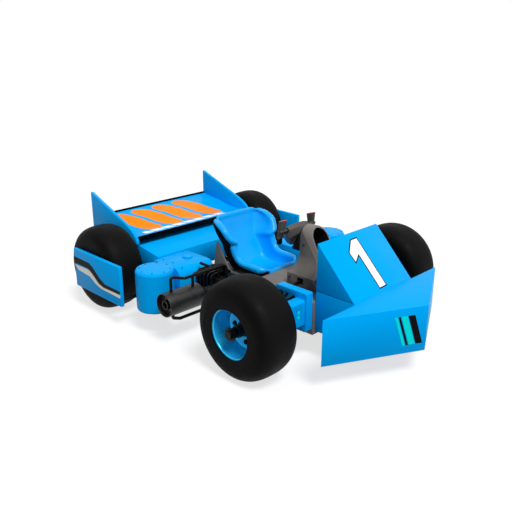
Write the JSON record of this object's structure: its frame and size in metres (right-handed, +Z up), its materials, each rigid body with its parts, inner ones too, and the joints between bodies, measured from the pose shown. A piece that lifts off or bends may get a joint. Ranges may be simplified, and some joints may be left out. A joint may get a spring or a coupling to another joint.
{
  "type": "racing kart",
  "caption": "Low single-seat racing kart with fat slick tyres, a plough-shaped nose, upright yoke grips, a side engine and a flat rear wing between end plates.",
  "frame": {"origin": "on the ground, at the middle of the overall length and width", "axes": "+X forward, +Y to the driver's left, +Z up"},
  "size_m": [2.119, 1.47, 0.628],
  "materials": {
    "blue_paint": "glossy bright blue composite",
    "blue_rim": "glossy bright blue paint",
    "grey_composite": "satin grey composite",
    "black_metal": "satin black",
    "black_rubber": "matte black rubber",
    "tyre": "matte black slick tyre",
    "dark_steel": "dark brushed steel",
    "lamp": "clear cyan"
  },
  "bodies": {
    "root": {"hull": "grey_composite", "steering_tower": "grey_composite", "column_housing": "black_metal", "nose_fairing": "blue_paint", "nose_box": "blue_paint", "front_wing": "blue_paint", "seat": "blue_paint", "seat_backing": "black_metal", "engine": "black_metal", "silencer": "dark_steel", "silencer_guard_upper": "black_metal", "silencer_guard_lower": "black_metal", "gear_lever": "black_metal", "side_tank_right": "blue_paint", "side_tank_left": "blue_paint", "filler_cap": "blue_paint", "pod_right": "blue_paint", "pod_left": "blue_paint", "rear_frame": "black_metal", "engine_cover": "blue_paint", "rear_wing": "blue_paint", "end_plate_right": "blue_paint", "end_plate_left": "blue_paint", "side_guard_right": "blue_paint", "side_guard_left": "blue_paint", "front_plate_right": "blue_paint", "front_plate_left": "blue_paint", "lamps_right": "lamp", "lamps_left": "lamp", "front_arms_right": "black_metal", "front_arms_left": "black_metal", "pedals": "dark_steel"},
    "steering": {"steering_column": "black_metal", "steering_yoke": "black_rubber", "yoke_hub": "grey_composite"},
    "knuckle_right": {"knuckle_right": "black_metal"},
    "knuckle_left": {"knuckle_left": "black_metal"},
    "tie_rod_right": {"tie_rod_right": "dark_steel"},
    "tie_rod_left": {"tie_rod_left": "dark_steel"},
    "front_wheel_right": {"front_hub_right": "black_metal", "front_rim_right": "blue_rim", "front_tyre_right": "tyre"},
    "front_wheel_left": {"front_hub_left": "black_metal", "front_rim_left": "blue_rim", "front_tyre_left": "tyre"},
    "rear_wheels": {"rear_axle": "dark_steel", "rear_rim_right": "blue_rim", "rear_tyre_right": "tyre", "rear_rim_left": "blue_rim", "rear_tyre_left": "tyre"}
  },
  "joints": [
    {"name": "steering", "type": "hinge", "parent": "root", "child": "steering", "pos_m": [0.2295, 0, 0.52], "axis": [-0.8572, 0, 0.515], "range_deg": [-29, 29]},
    {"name": "kingpin_left", "type": "hinge", "parent": "root", "child": "knuckle_left", "pos_m": [0.4615, 0.44, 0.25], "axis": [0, 0, 1], "range_deg": [-20.5, 20.5]},
    {"name": "kingpin_right", "type": "hinge", "parent": "root", "child": "knuckle_right", "pos_m": [0.4615, -0.44, 0.25], "axis": [0, 0, 1], "range_deg": [-20.5, 20.5]},
    {"name": "tie_rod_left", "type": "hinge", "parent": "knuckle_left", "child": "tie_rod_left", "pos_m": [0.4065, 0.436, 0.3], "axis": [0, 0, 1], "range_deg": [-20.5, 20.5]},
    {"name": "tie_rod_right", "type": "hinge", "parent": "knuckle_right", "child": "tie_rod_right", "pos_m": [0.4065, -0.436, 0.3], "axis": [0, 0, 1], "range_deg": [-20.5, 20.5]},
    {"name": "front_wheel_left", "type": "hinge", "parent": "knuckle_left", "child": "front_wheel_left", "pos_m": [0.4615, 0.594, 0.25], "axis": [0, 1, 0], "continuous": true},
    {"name": "front_wheel_right", "type": "hinge", "parent": "knuckle_right", "child": "front_wheel_right", "pos_m": [0.4615, -0.594, 0.25], "axis": [0, 1, 0], "continuous": true},
    {"name": "rear_wheels", "type": "hinge", "parent": "root", "child": "rear_wheels", "pos_m": [-0.7245, 0, 0.247], "axis": [0, 1, 0], "continuous": true}
  ],
  "couplings": [
    {"joint": "kingpin_left", "follows": "steering", "ratio": 0.6909},
    {"joint": "kingpin_right", "follows": "steering", "ratio": 0.6909},
    {"joint": "tie_rod_left", "follows": "steering", "ratio": -0.6909},
    {"joint": "tie_rod_right", "follows": "steering", "ratio": -0.6909}
  ]
}
